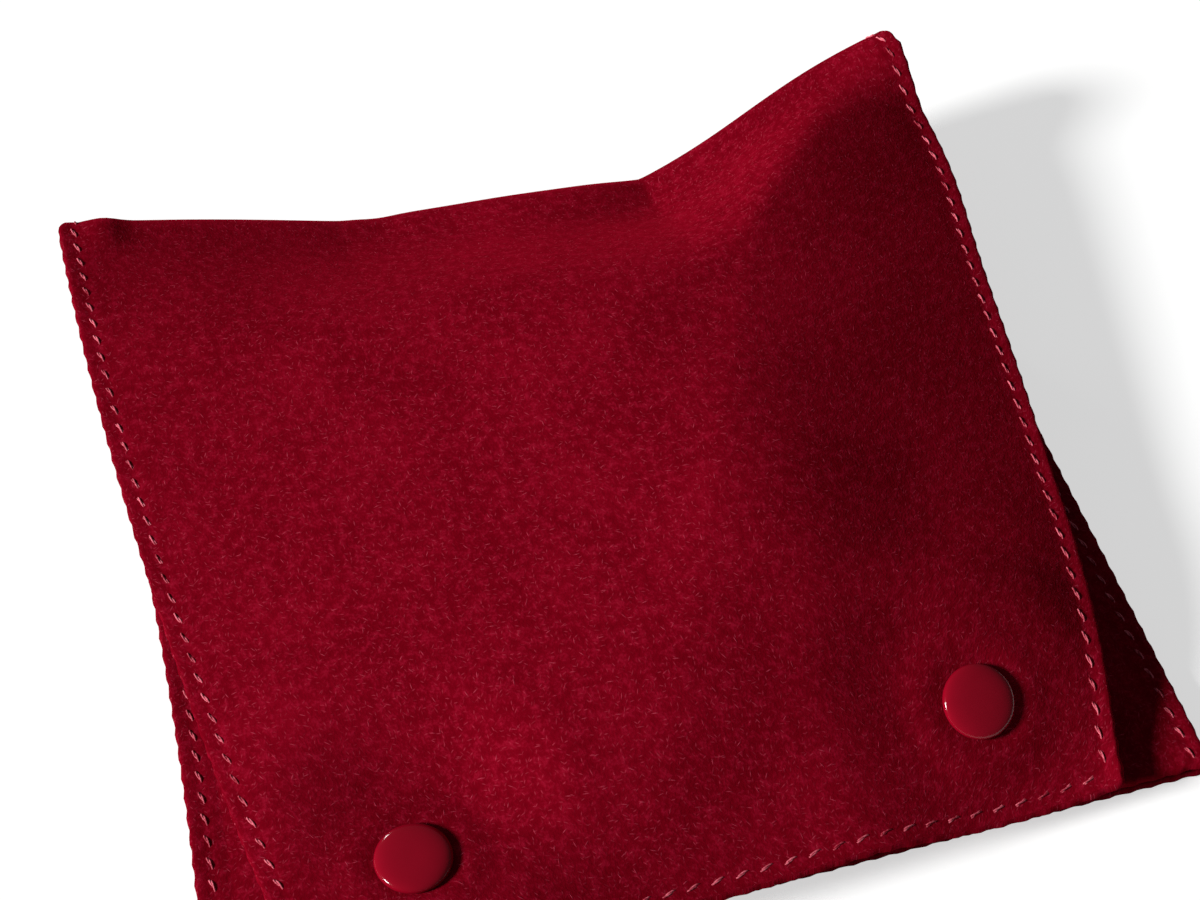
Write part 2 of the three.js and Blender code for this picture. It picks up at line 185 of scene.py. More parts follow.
# Finishes: sizes of their patterns in millimetres, and their colours
# Nap patches are painted lighter where the nap lies towards the light: partly the suede's own mottle, partly
# painted sheen
NAP_PATCH = 14  # areas where the nap lies one way
NAP_TUFT = 1.5
NAP_FLECK = 0.4  # ends of fibres that catch the light
SHORT_FIBRES = {"cell": 0.85, "length": 0.7, "width": 0.18, "share": 0.8, "strength": 0.4}
LONG_FIBRES = {"cell": 2.2, "length": 1.0, "width": 0.16, "share": 0.8, "strength": 0.75}
# Suede colours: the lit colour laid over the ground in nap patches is partly painted sheen
SUEDE_GROUND = "#6A0211"
SUEDE_LIT = "#7A0417"
SUEDE_FLECK = "#9A152F"
SUEDE_FIBRE = "#BC4258"
NAP_DEPTH = 0.12
TUFT_RELIEF = 0.7  # height of the tufts, as a share of the finest grain's
FIBRE_RELIEF = 0.8
SHEEN_COLOUR = "#F01838"
# Thread colours: pale patches along each strand are painted glints of the twisted plies over the darker
# thread, partly its own uneven tone
THREAD_GLINT_PATCH = 3.2
THREAD_GLINT_FLECK = 0.4
THREAD_DARK = "#8E1A2C"
THREAD_PALE = "#E47282"
ENAMEL_PEEL = 0.9
ENAMEL_PEEL_DEPTH = 0.02
ENAMEL_TONE = 4
ENAMEL_DEEP = "#84051A"
ENAMEL_BRIGHT = "#90071F"
PRESS_MARK = 0.5
STEEL_DULL = "#A9A7A2"
STEEL_BRIGHT = "#C9C7C1"
PAPER_DULL = "#C4C4C3"
PAPER_BRIGHT = "#CACAC9"
PAPER_PULP = 1000 / 30  # thirty patches to a metre
SKY = "#F2F4F8"

# Stage, light and camera, in metres
FLOOR_RADIUS = 6.0
SUN_AZIMUTH = math.radians(184)  # where the light comes from, round from +X
SUN_ELEVATION = math.radians(28)
WINDOW_DIRECTION = Vector((-0.28, 0.93, 0.17)).normalized()  # small light behind that glints on the caps
WINDOW_DISTANCE = 1.2
WINDOW_SIZE = 0.11
CAMERA_AZIMUTH = math.radians(-15.8)
CAMERA_ELEVATION = math.radians(52)
CAMERA_TARGET = Vector((4, 10, 0)) * MM
CAMERA_DISTANCE = 330 * MM
PHOTO_WIDTH = 1200
FOCAL_PIXELS = 2200
SENSOR_WIDTH = 36  # millimetres, as the camera counts it
CLIP_START = 0.01
SUN_ENERGY = 4.7
SUN_SPREAD = math.radians(14)
WINDOW_ENERGY = 1.8
SKY_STRENGTH = 0.1
FLOOR_GLOW = 0.6  # what the camera and reflections see on top of the light that falls on the paper

half_width = BODY_WIDTH / 2
bottom_y = -BODY_HEIGHT / 2
fold_y = BODY_HEIGHT / 2
fold_centre_y = fold_y - FOLD_RADIUS - PANEL / 2
seam_y = bottom_y + BOTTOM_MARGIN
mouth_y = fold_y - MOUTH_SETBACK
tip_y = bottom_y - FLAP_OVERHANG


def ease(t):
    s = np.clip(t, 0, 1)
    return s * s * (3 - 2 * s)


def lerp(start, end, share):
    return start + (end - start) * share


def creased(t):
    return t * t / (t + CREASE_SOFTNESS)


def bell(distance, width):
    return np.exp(-((distance / width) ** 2))


def fold_lift(u):
    """Height of the fold's corners above the table, by place across the width from -1 to 1."""
    past_left = np.maximum(-u - LEFT_LIFT_FROM, 0) / (1 - LEFT_LIFT_FROM)
    past_right = np.maximum(u - RIGHT_LIFT_FROM, 0) / (1 - RIGHT_LIFT_FROM)
    left = LEFT_LIFT * creased(past_left) ** LEFT_LIFT_BOW
    right = RIGHT_LIFT * creased(past_right) ** RIGHT_LIFT_BOW
    return left + right


def fold_fullness(u):
    return FOLD_FULLNESS * bell(u - FOLD_FULLNESS_AT, FOLD_FULLNESS_SPREAD)


def fold_bumps(u):
    return sum(bump["height"] * bell(u - bump["at"], bump["spread"]) for bump in FOLD_BUMPS)


def fold_line(u):
    """Line about which the fold rolls, drawn in between its corners and where the roll is fuller."""
    pull = FOLD_PULL * bell(u - FOLD_PULL_AT, FOLD_PULL_SPREAD)
    dent = FOLD_DENT * bell(u - FOLD_DENT_AT, FOLD_DENT_SPREAD)
    return fold_centre_y - pull - dent - 2 * fold_fullness(u)


def back_height(u, y):
    return PANEL / 2 + fold_lift(u) * ease(1 - (fold_line(u) - y) / LIFT_LENGTH)


def side_draw(u, y):
    return LEFT_SIDE_DRAW * np.maximum(-u, 0) ** 2 * np.maximum(1 - (y / fold_y) ** 2, 0)


def right_swell(u, y):
    return RIGHT_SWELL * np.maximum(u, 0) ** 2 * bell(y - RIGHT_SWELL_AT, RIGHT_SWELL_SPREAD)


def flap_taper(y):
    return np.maximum((fold_y - y) / (fold_y - tip_y), 0) ** 2


def flap_half_width(y):
    return half_width - (half_width - FLAP_TIP_WIDTH / 2) * flap_taper(y)


def flap_tip(u):
    return tip_y + TIP_SKEW * u


def flap_drape(x, y):
    """Open surface of the flap, before the studs pull it down."""
    edge = flap_half_width(y)
    crest = CROWN_X + CROWN_SLANT * y
    left = x < crest
    reach = np.abs(x - crest) / np.where(left, edge + crest, edge - crest)
    edge_rise = np.where(left, LEFT_EDGE_RISE + LEFT_EDGE_SLOPE * y, RIGHT_EDGE_RISE + RIGHT_EDGE_SLOPE * y)
    crown = FLAP_CROWN + CROWN_FALL * np.minimum(y, 0)
    arched = edge_rise + (crown - edge_rise) * (1 - reach**CROWN_ROUNDNESS)
    tip_rise = lerp(LEFT_TIP_RISE, RIGHT_TIP_RISE, ease((x / edge - TIP_TWIST_FROM) / TIP_TWIST_SPAN))
    draped = lerp(arched, tip_rise, ease((TIP_DROP_FROM - y) / (TIP_DROP_FROM - tip_y)))
    for wave in SMALL_WAVES:
        (wave_x, wave_y), (spread_x, spread_y) = wave["at"], wave["spread"]
        draped = draped + wave["height"] * bell(x - wave_x, spread_x) * bell(y - wave_y, spread_y)
    u = x / half_width
    fold_top = PANEL / 2 + fold_lift(u) + 2 * (FOLD_RADIUS + fold_fullness(u))
    to_right = ease((u - RIGHT_FOLD_BLEND_FROM) / RIGHT_FOLD_BLEND_SPAN)
    return lerp(fold_top, draped, ease((fold_line(u) - y) / lerp(FOLD_BLEND, RIGHT_FOLD_BLEND, to_right)))


def seat_centre(seat):
    """Mid-thickness of the flap under a cap."""
    normal = seat["normal"]
    y = float(flap_tip(seat["side"] * STUD_OFFSET / half_width)) + STUD_TO_TIP
    tilt_drop = RIVET_HEAD_DIAMETER / 2 * math.sqrt(1 - normal.z**2)
    z = PANEL + seat["air"] + tilt_drop + RIVET_DEPTH * normal.z
    return Vector((seat["side"] * STUD_OFFSET + TIP_DRIFT * float(flap_taper(y)), y, z))


def seated(x, y, height, depth, dimple):
    """Surface pulled flat onto the seats of the studs."""
    z = height
    for seat in SEATS.values():
        normal = seat["normal"]
        centre = seat_centre(seat) - normal * depth
        flat = centre.z - (normal.x * (x - centre.x) + normal.y * (y - centre.y)) / normal.z
        beyond = np.hypot(x - centre.x, y - centre.y) - CAP_DIAMETER / 2 - dimple["margin"]
        z = lerp(z, flat, ease(1 - beyond / dimple["blend"]))
    return z


def points(x, y, z):
    return np.stack(np.broadcast_arrays(x, y, z), axis=-1)


def grid_normals(grid):
    """Unit normals of a grid of points, on the side that faces into the pouch."""
    normals = np.cross(np.gradient(grid, axis=1), np.gradient(grid, axis=0))
    return normals / np.linalg.norm(normals, axis=-1, keepdims=True)


def run_lengths(grid, axis):
    """Length along a grid's lines from their start, in millimetres."""
    steps = np.linalg.norm(np.diff(grid, axis=axis), axis=-1)
    start = np.zeros_like(np.take(steps, [0], axis=axis))
    return np.concatenate([start, np.cumsum(steps, axis=axis)], axis=axis)


def banded(start, end, fine_start, fine_end):
    """Places along a line, closer together in the bands at its sewn ends."""
    low = start + (EDGE_BAND if fine_start else 0)
    high = end - (EDGE_BAND if fine_end else 0)
    cells = max(round((high - low) / CLOTH_CELL), 1)
    places = [np.linspace(low, high, cells + 1)]
    band = np.arange(0, EDGE_BAND - EDGE_CELL / 2, EDGE_CELL)
    if fine_start:
        places.insert(0, start + band)
    if fine_end:
        places.append(end - band[::-1])
    return np.concatenate(places)


across = banded(-half_width + EDGE_ROUND, half_width - EDGE_ROUND, True, True)[None, :] / half_width
pocket_rows = banded(bottom_y + EDGE_ROUND, mouth_y, True, False)[:, None]


def back_grid(y):
    return points(across * half_width + side_draw(across, y), y, back_height(across, y))


def long_panel_grid():
    """Mid-thickness of the long panel: up the back, round the fold and down the flap."""
    line = fold_line(across)
    back_end = np.linspace(0, 1, round(MOUTH_SETBACK / CLOTH_CELL))[1:, None]
    turn = np.pi * (np.linspace(0, 1, FOLD_ROWS + 1)[1:, None] - 0.5)
    radius = FOLD_RADIUS + fold_fullness(across)
    fold_z = back_height(across, line) + radius + fold_bumps(across) * (1 + np.sin(turn)) / 2
    fold_x = across * half_width - CORNER_ROUND * across**CORNER_SHARPNESS * np.cos(turn) ** 2
    fold = points(fold_x, line + radius * np.cos(turn), fold_z + radius * np.sin(turn))
    length = fold_centre_y - tip_y
    down = banded(0, length - EDGE_ROUND, False, True)[1:, None] / length
    flap_y = lerp(line, flap_tip(across), down)
    flap_x = across * flap_half_width(flap_y) + TIP_DRIFT * flap_taper(flap_y) + right_swell(across, flap_y)
    flap_z = seated(flap_x, flap_y, flap_drape(flap_x, flap_y), 0, FLAP_DIMPLE)
    for seat in SEATS.values():
        centre = seat_centre(seat)
        away = np.hypot(flap_x - centre.x, flap_y - centre.y)
        flap_z = flap_z + SEAT_SWELL * bell(away - SEAT_SWELL_RADIUS, SEAT_SWELL_SPREAD)
    flap_z = flap_z + fold_bumps(across) * ease(1 - (line - flap_y) / FOLD_BUMP_LENGTH)
    flap = points(flap_x, flap_y, flap_z)
    return np.concatenate([back_grid(pocket_rows), back_grid(lerp(mouth_y, line, back_end)), fold, flap])


def front_grid():
    """Mid-thickness of the pocket front, which lies on the back at the seams and stands off it between."""
    back = back_grid(pocket_rows)
    raised = back + grid_normals(back) * (PANEL + CLEARANCE)
    x, y, z = np.moveaxis(raised, -1, 0)
    to_seam = np.minimum(np.abs(across * half_width) / (half_width - SEAM_MARGIN), 1)
    sides = 1 - to_seam**POCKET_SIDE_FULLNESS
    below = np.maximum(POCKET_FULLEST_Y - y, 0) / (POCKET_FULLEST_Y - seam_y)
    above = np.maximum(y - POCKET_FULLEST_Y, 0) / (mouth_y - POCKET_FULLEST_Y)
    swell = POCKET_RISE * (1 - np.minimum(below, 1) ** POCKET_END_FULLNESS)
    rise = swell - (POCKET_RISE - MOUTH_RISE) * above**2
    free = seated(x, y, z + rise * sides, PANEL_SPACING, FRONT_DIMPLE)
    return points(x, y, np.maximum(z, lerp(z, free, ease((y - seam_y) / BOTTOM_CLIMB))))


def mesh_object(name, vertices, faces, material):
    mesh = bpy.data.meshes.new(name)
    mesh.from_pydata((np.asarray(vertices) * MM).tolist(), [], faces)
    mesh.polygons.foreach_set("use_smooth", [True] * len(mesh.polygons))
    mesh.materials.append(material)
    piece = bpy.data.objects.new(name, mesh)
    bpy.context.scene.collection.objects.link(piece)
    return piece


class Sheet:
    """A panel of cloth as a grid of mid points with its edge distances, pinched along its seam lines."""

    def __init__(self, grid, sewn_tip, curled):
        widths = run_lengths(grid, 1)
        lengths = run_lengths(grid, 0)
        self.cloth = np.stack([widths - widths[:, -1:] / 2, lengths], axis=-1)
        self.to_left = widths + EDGE_ROUND
        self.to_right = widths[:, -1:] - widths + EDGE_ROUND
        self.to_tip = lengths[-1:] - lengths + EDGE_ROUND
        to_side = np.minimum(self.to_left, self.to_right)
        to_edge = np.minimum(to_side, self.to_tip) if sewn_tip else to_side
        stand = np.zeros_like(to_edge)
        if curled:
            for edge, distance in (("left", self.to_left), ("right", self.to_right), ("tip", self.to_tip)):
                stand += HEM_CURL[edge] * np.maximum(1 - distance / HEM_CURL_WIDTH, 0) ** HEM_CURL_BEND
            stand *= ease((BODY_HEIGHT - self.to_tip) / HEM_CURL_GROWTH)
        self.mid = grid - grid_normals(grid) * stand[..., None]
        self.normals = grid_normals(self.mid)
        beat = np.where(to_side <= self.to_tip, lengths, widths) / STITCH_PITCH
        drawn = 1 - GROOVE_BEAT + GROOVE_BEAT * np.cos(2 * np.pi * beat)
        self.half = PANEL / 2 - GROOVE_DEPTH * drawn * bell(to_edge - STITCH_INSET, GROOVE_WIDTH)
        self.inner = self.mid + self.normals * self.half[..., None]
        self.outer = self.mid - self.normals * self.half[..., None]

    def build(self, name, material):
        """Closed sheet: both faces, and a rounded cut edge between them."""
        rows, columns = self.half.shape
        index = np.arange(rows * columns).reshape(rows, columns)
        border = np.concatenate([index[0, :-1], index[:-1, -1], index[-1, :0:-1], index[:0:-1, 0]])
        mid = self.mid.reshape(-1, 3)[border]
        normal = self.normals.reshape(-1, 3)[border]
        half = self.half.reshape(-1)[border]
        tangent = np.roll(mid, -1, axis=0) - np.roll(mid, 1, axis=0)
        outward = np.cross(tangent, normal)
        outward /= np.linalg.norm(outward, axis=-1, keepdims=True)
        run = np.cumsum(np.linalg.norm(mid - np.roll(mid, 1, axis=0), axis=-1))
        bulge = EDGE_ROUND + SCALLOP * np.cos(2 * np.pi * run / STITCH_PITCH)
        vertices = [self.inner.reshape(-1, 3), self.outer.reshape(-1, 3)]
        cloth = [self.cloth.reshape(-1, 2)] * 2
        loops = [border]
        first = 2 * rows * columns
        for step in range(1, RIM_STEPS):
            turn = np.pi * step / RIM_STEPS
            out = bulge * math.sin(turn)
            up = half * math.cos(turn)
            vertices.append(mid + outward * out[:, None] + normal * up[:, None])
            cloth.append(self.cloth.reshape(-1, 2)[border] * (1 + EDGE_ROUND / half_width))
            loops.append(first + np.arange(len(border)))
            first += len(border)
        loops.append(border + rows * columns)
        corners = [index[:-1, :-1], index[:-1, 1:], index[1:, 1:], index[1:, :-1]]
        inner_faces = np.stack(corners, axis=-1).reshape(-1, 4)
        faces = [inner_faces, inner_faces[:, ::-1] + rows * columns]
        for upper, lower in zip(loops, loops[1:]):
            faces.append(np.stack([upper, lower, np.roll(lower, -1), np.roll(upper, -1)], axis=-1))
        faces = np.concatenate(faces)
        piece = mesh_object(name, np.concatenate(vertices), faces.tolist(), material)
        layer = piece.data.uv_layers.new(name="cloth")
        places = np.concatenate(cloth)[faces.reshape(-1)]
        layer.data.foreach_set("uv", places.astype(np.float32).reshape(-1))
        return piece

    def side_seam(self, face, to_side, first_row=0):
        """Points or normals along one side's seam line, from the first row to the tip's seam line."""
        order = np.argsort(to_side, axis=1)
        rows = [r for r in range(first_row, len(face)) if self.to_tip[r].min() >= STITCH_INSET]
        line = []
        for r in rows:
            near = to_side[r][order[r]]
            line.append([np.interp(STITCH_INSET, near, face[r][order[r], k]) for k in range(3)])
        return np.array(line)

    def tip_seam(self, face):
        """Points or normals along the tip's seam line, between the two side seams."""
        line = []
        for c in range(face.shape[1]):
            corner = min(self.to_left[-1, c], self.to_right[-1, c])
            if corner >= STITCH_INSET:
                near = self.to_tip[::-1, c]
                line.append([np.interp(STITCH_INSET, near, face[::-1, c, k]) for k in range(3)])
        return np.array(line)


# Colours and materials


def linear(hex_colour):
    """sRGB hex to linear RGBA."""
    channels = [int(hex_colour[i : i + 2], 16) / 255 for i in (1, 3, 5)]
    return [c / 12.92 if c <= 0.04045 else ((c + 0.055) / 1.055) ** 2.4 for c in channels] + [1]


def add_node(tree, kind, inputs=None, **settings):
    """Adds a node with its settings, and its inputs as values or as links from other nodes' outputs."""
    node = tree.nodes.new(kind)
    for name, value in settings.items():
        setattr(node, name, value)
    for socket, value in (inputs or {}).items():
        if isinstance(value, bpy.types.NodeSocket):
            tree.links.new(value, node.inputs[socket])
        else:
            node.inputs[socket].default_value = value
    return node


def new_material(name):
    material = bpy.data.materials.new(name)
    material.use_nodes = True
    tree = material.node_tree
    tree.nodes.clear()
    shader = add_node(tree, "ShaderNodeBsdfPrincipled")
    add_node(tree, "ShaderNodeOutputMaterial", {"Surface": shader.outputs[0]})
    return material, tree, shader


def set_sockets(shader, **values):
    for name, value in values.items():
        shader.inputs[name.replace("_", " ")].default_value = value


def loose_fibres(tree, cloth, cell, length, width, share, strength):
    """Short light strokes, one to a cell at a random place and angle, in a share of the cells."""
    cells = add_node(
        tree, "ShaderNodeTexVoronoi", {"Vector": cloth, "Scale": 1 / cell}, voronoi_dimensions="2D"
    )
    place = add_node(
        tree, "ShaderNodeVectorMath", {0: cloth, 1: cells.outputs["Position"]}, operation="SUBTRACT"
    )
    chance = add_node(tree, "ShaderNodeSeparateColor", {"Color": cells.outputs["Color"]})
    angle = add_node(
        tree, "ShaderNodeMath", {0: chance.outputs["Red"], 1: math.pi}, operation="MULTIPLY"
    )
    turned_place = add_node(
        tree,
        "ShaderNodeVectorRotate",
        {"Vector": place.outputs[0], "Angle": angle.outputs[0]},
        rotation_type="Z_AXIS",
    )
    sized = add_node(
        tree,
        "ShaderNodeVectorMath",
        {0: turned_place.outputs[0], 1: (2 / length, 2 / width, 0)},
        operation="MULTIPLY",
    )
    reach = add_node(tree, "ShaderNodeVectorMath", {0: sized.outputs[0]}, operation="LENGTH")
    stroke = add_node(
        tree,
        "ShaderNodeMapRange",
        {"Value": reach.outputs["Value"], "From Min": 1.0, "From Max": 0.3},
    )
    lit = add_node(
        tree,
        "ShaderNodeMapRange",
        {"Value": chance.outputs["Green"], "From Min": 1 - share, "To Max": strength},
    )
    return add_node(
        tree, "ShaderNodeMath", {0: stroke.outputs[0], 1: lit.outputs[0]}, operation="MULTIPLY"
    ).outputs[0]


def microfibre_suede():
    """Dyed microfibre suede, brushed: matt, deep red, with a nap that lies in patches and tufts, the lighter
    patches partly its own mottle and partly painted sheen, painted flecks where fibre ends catch the light,
    and loose light fibres on top."""
    material, tree, shader = new_material("microfibre_suede")
    cloth = add_node(tree, "ShaderNodeUVMap", uv_map="cloth").outputs[0]
    patches, tufts, grain = (
        add_node(
            tree,
            "ShaderNodeTexNoise",
            {"Vector": cloth, "Scale": 1 / size, "Detail": 2.5, "Roughness": 0.58},
            noise_dimensions="2D",
        ).outputs[0]
        for size in (NAP_PATCH, NAP_TUFT, NAP_FLECK)
    )
    # Nap patches painted in the lit colour: partly the suede's own mottle, partly painted sheen
    nap = add_node(tree, "ShaderNodeMath", {0: patches, 1: tufts}, operation="ADD")
    nap_lie_and_sheen = add_node(
        tree, "ShaderNodeMapRange", {"Value": nap.outputs[0], "From Min": 0.75, "From Max": 1.25}
    )
    clumps = add_node(tree, "ShaderNodeMath", {0: grain, 1: tufts}, operation="ADD")
    flecks = add_node(
        tree,
        "ShaderNodeMapRange",
        {"Value": clumps.outputs[0], "From Min": 1.0, "From Max": 1.4, "To Max": 0.55},
    )
    short_fibres = loose_fibres(tree, cloth, **SHORT_FIBRES)
    long_fibres = loose_fibres(tree, cloth, **LONG_FIBRES)
    colour = linear(SUEDE_GROUND)
    for share, lighter in (
        (nap_lie_and_sheen.outputs[0], SUEDE_LIT),
        (flecks.outputs[0], SUEDE_FLECK),
        (short_fibres, SUEDE_FIBRE),
        (long_fibres, SUEDE_FIBRE),
    ):
        colour = add_node(
            tree, "ShaderNodeMix", {"Factor": share, "A": colour, "B": linear(lighter)}, data_type="RGBA"
        ).outputs["Result"]
    relief = add_node(tree, "ShaderNodeMath", {0: tufts, 1: TUFT_RELIEF, 2: grain}, operation="MULTIPLY_ADD")
    raised = add_node(
        tree,
        "ShaderNodeMath",
        {0: long_fibres, 1: FIBRE_RELIEF, 2: relief.outputs[0]},
        operation="MULTIPLY_ADD",
    )
    bump = add_node(
        tree,
        "ShaderNodeBump",
        {"Height": raised.outputs[0], "Strength": 0.55, "Distance": NAP_DEPTH * MM},
    )
    tree.links.new(colour, shader.inputs["Base Color"])
    tree.links.new(bump.outputs[0], shader.inputs["Normal"])
    set_sockets(shader, Roughness=0.95, Specular_IOR_Level=0.0, Sheen_Weight=0.2, Sheen_Roughness=0.45)
    set_sockets(shader, Sheen_Tint=linear(SHEEN_COLOUR))
    return material


def polyester_thread():
    """Twisted polyester sewing thread, paler than the cloth, with a weak satin gloss; paler patches along
    each strand are painted glints of the twisted plies, partly the thread's own uneven tone.
    """
    material, tree, shader = new_material("polyester_thread")
    place = add_node(tree, "ShaderNodeTexCoord").outputs["Object"]
    # Paler patches along the thread: painted glints of the twisted strands, partly the thread's own uneven
    # tone
    glint_patches = add_node(
        tree, "ShaderNodeTexNoise", {"Vector": place, "Scale": 1 / (THREAD_GLINT_PATCH * MM), "Detail": 1.0}
    )
    glint_flecks = add_node(
        tree, "ShaderNodeTexNoise", {"Vector": place, "Scale": 1 / (THREAD_GLINT_FLECK * MM), "Detail": 2.0}
    )
    uneven = add_node(tree, "ShaderNodeMath", {0: glint_patches.outputs[0], 1: glint_flecks.outputs[0]}, operation="ADD")
    share = add_node(
        tree, "ShaderNodeMapRange", {"Value": uneven.outputs[0], "From Min": 0.75, "From Max": 1.25}
    )
    colour = add_node(
        tree,
        "ShaderNodeMix",
        {"Factor": share.outputs[0], "A": linear(THREAD_DARK), "B": linear(THREAD_PALE)},
        data_type="RGBA",
    )
    tree.links.new(colour.outputs["Result"], shader.inputs["Base Color"])
    set_sockets(shader, Roughness=0.6, Specular_IOR_Level=0.12)
    return material


def stove_enamel():
    """Stove enamel sprayed on pressed steel: deep gloss with a slight orange peel."""
    material, tree, shader = new_material("stove_enamel")
    place = add_node(tree, "ShaderNodeTexCoord").outputs["Object"]
    peel = add_node(
        tree, "ShaderNodeTexNoise", {"Vector": place, "Scale": 1 / (ENAMEL_PEEL * MM), "Detail": 1.0}
    )
    bump = add_node(
        tree,
        "ShaderNodeBump",
        {"Height": peel.outputs[0], "Strength": 0.15, "Distance": ENAMEL_PEEL_DEPTH * MM},
    )
    tone = add_node(
        tree, "ShaderNodeTexNoise", {"Vector": place, "Scale": 1 / (ENAMEL_TONE * MM), "Detail": 2.0}
    )
    colour = add_node(
        tree,
        "ShaderNodeMix",
        {"Factor": tone.outputs[0], "A": linear(ENAMEL_DEEP), "B": linear(ENAMEL_BRIGHT)},
        data_type="RGBA",
    )
    tree.links.new(colour.outputs["Result"], shader.inputs["Base Color"])
    tree.links.new(bump.outputs[0], shader.inputs["Normal"])
    set_sockets(shader, Roughness=0.12, IOR=1.5, Specular_IOR_Level=0.25)
    return material


def plated_steel():
    """Nickel-plated spring steel, stamped: a satin metal with fine marks from the press."""
    material, tree, shader = new_material("plated_steel")
    place = add_node(tree, "ShaderNodeTexCoord").outputs["Object"]
    marks = add_node(
        tree, "ShaderNodeTexNoise", {"Vector": place, "Scale": 1 / (PRESS_MARK * MM), "Detail": 4.0}
    )
    rough = add_node(
        tree, "ShaderNodeMapRange", {"Value": marks.outputs[0], "To Min": 0.22, "To Max": 0.42}
    )
    colour = add_node(
        tree,
        "ShaderNodeMix",
        {"Factor": marks.outputs[0], "A": linear(STEEL_DULL), "B": linear(STEEL_BRIGHT)},
        data_type="RGBA",
    )
    tree.links.new(rough.outputs[0], shader.inputs["Roughness"])
    tree.links.new(colour.outputs["Result"], shader.inputs["Base Color"])
    set_sockets(shader, Metallic=1.0)
    return material


suede = microfibre_suede()
thread = polyester_thread()
enamel = stove_enamel()
steel = plated_steel()


# Cloth panels

long_sheet = Sheet(long_panel_grid(), True, True)
front_sheet = Sheet(front_grid(), False, False)
long_piece = long_sheet.build("back_and_flap", suede)
front_piece = front_sheet.build("pocket_front", suede)
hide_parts("back_flap_panel")
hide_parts("front_panel")


# Stitches


def at_place(line, run, place):
    """A line's value at a length along it."""
    return np.array([np.interp(place, run, line[:, k]) for k in range(3)])


def stitch_mesh(line, surface_side):
    """Vertices and faces of a row of stitches along a line, each of two twisted strands."""
    steps = np.linalg.norm(np.diff(line, axis=0), axis=-1)
    run = np.concatenate([[0], np.cumsum(steps)])
    middles = np.arange(STITCH_PITCH / 2, run[-1], STITCH_PITCH)
    vertices, faces = [], []
    along = np.linspace(-1, 1, STRAND_RINGS)
    height = STITCH_RISE - (STITCH_RISE + STITCH_DIVE) * along**STITCH_FLATNESS
    ring = 2 * np.pi * np.arange(STRAND_SIDES) / STRAND_SIDES
    for middle in middles:
        up = at_place(surface_side, run, middle)
        up /= np.linalg.norm(up)
        sink = UNDERSIDE_SINK * max(-up[2], 0)
        ahead = at_place(line, run, middle + STITCH_REACH) - at_place(line, run, middle - STITCH_REACH)
        ahead -= up * (ahead @ up)
        ahead /= np.linalg.norm(ahead)
        aside = np.cross(up, ahead)
        way = ahead * math.cos(STITCH_SLANT) + aside * math.sin(STITCH_SLANT)
        beside = np.cross(up, way)
        for strand in (0, np.pi):
            twist = strand + along * STRAND_TWIST * np.pi + middle
            centre = at_place(line, run, middle) + np.outer(along * STITCH_LENGTH / 2, way)
            centre = centre + np.outer(height - sink, up)
            centre += STRAND_RADIUS * (np.outer(np.cos(twist), beside) + np.outer(np.sin(twist), up))
            first = len(vertices)
            for c in centre:
                for a in ring:
                    vertices.append(c + STRAND_RADIUS * (math.cos(a) * beside + math.sin(a) * up))
            for r in range(STRAND_RINGS - 1):
                for s in range(STRAND_SIDES):
                    low = first + r * STRAND_SIDES
                    t = (s + 1) % STRAND_SIDES
                    faces.append((low + s, low + t, low + STRAND_SIDES + t, low + STRAND_SIDES + s))
            last = first + (STRAND_RINGS - 1) * STRAND_SIDES
            faces.append(tuple(range(first + STRAND_SIDES - 1, first - 1, -1)))
            faces.append(tuple(range(last, last + STRAND_SIDES)))
    return vertices, faces


def sew(name, seams):
    vertices, faces = [], []
    for line, side in seams:
        more_vertices, more_faces = stitch_mesh(line, side)
        faces += [tuple(i + len(vertices) for i in face) for face in more_faces]
        vertices += more_vertices
    return mesh_object(name, vertices, faces, thread)


mouth_row = len(pocket_rows)
outside = -long_sheet.normals
outer_seams = []
inner_seams = []
for to_side in (long_sheet.to_left, long_sheet.to_right):
    outer_seams.append(
        (long_sheet.side_seam(long_sheet.outer, to_side), long_sheet.side_seam(outside, to_side))
    )
    inner_seams.append(
        (
            long_sheet.side_seam(long_sheet.inner, to_side, mouth_row),
            long_sheet.side_seam(long_sheet.normals, to_side, mouth_row),
        )
    )
outer_seams.append((long_sheet.tip_seam(long_sheet.outer), long_sheet.tip_seam(outside)))
inner_seams.append((long_sheet.tip_seam(long_sheet.inner), long_sheet.tip_seam(long_sheet.normals)))
pocket_seams = [
    (front_sheet.side_seam(front_sheet.inner, to_side), front_sheet.side_seam(front_sheet.normals, to_side))
    for to_side in (front_sheet.to_left, front_sheet.to_right)
]
outer_thread = sew("edge_thread_outside", outer_seams)
inner_thread = sew("edge_thread_inside", inner_seams)
pocket_thread = sew("pocket_seam_thread", pocket_seams)


# Press studs


def turned_mesh(profile):
    """Vertices and faces of a body turned about Z, from a profile that starts and ends on the axis."""
    vertices = [(0, 0, profile[0][1])]
    angles = 2 * np.pi * np.arange(CAP_ROUND) / CAP_ROUND
    for radius, height in profile[1:-1]:
        vertices += [(radius * math.cos(a), radius * math.sin(a), height) for a in angles]
    vertices.append((0, 0, profile[-1][1]))
    faces = []
    rings = len(profile) - 2
    for s in range(CAP_ROUND):
        t = (s + 1) % CAP_ROUND
        faces.append((0, 1 + t, 1 + s))
        for r in range(rings - 1):
            low = 1 + r * CAP_ROUND
            faces.append((low + s, low + t, low + CAP_ROUND + t, low + CAP_ROUND + s))
        last = 1 + (rings - 1) * CAP_ROUND
        faces.append((last + s, last + t, len(vertices) - 1))
    return np.array(vertices, float), faces


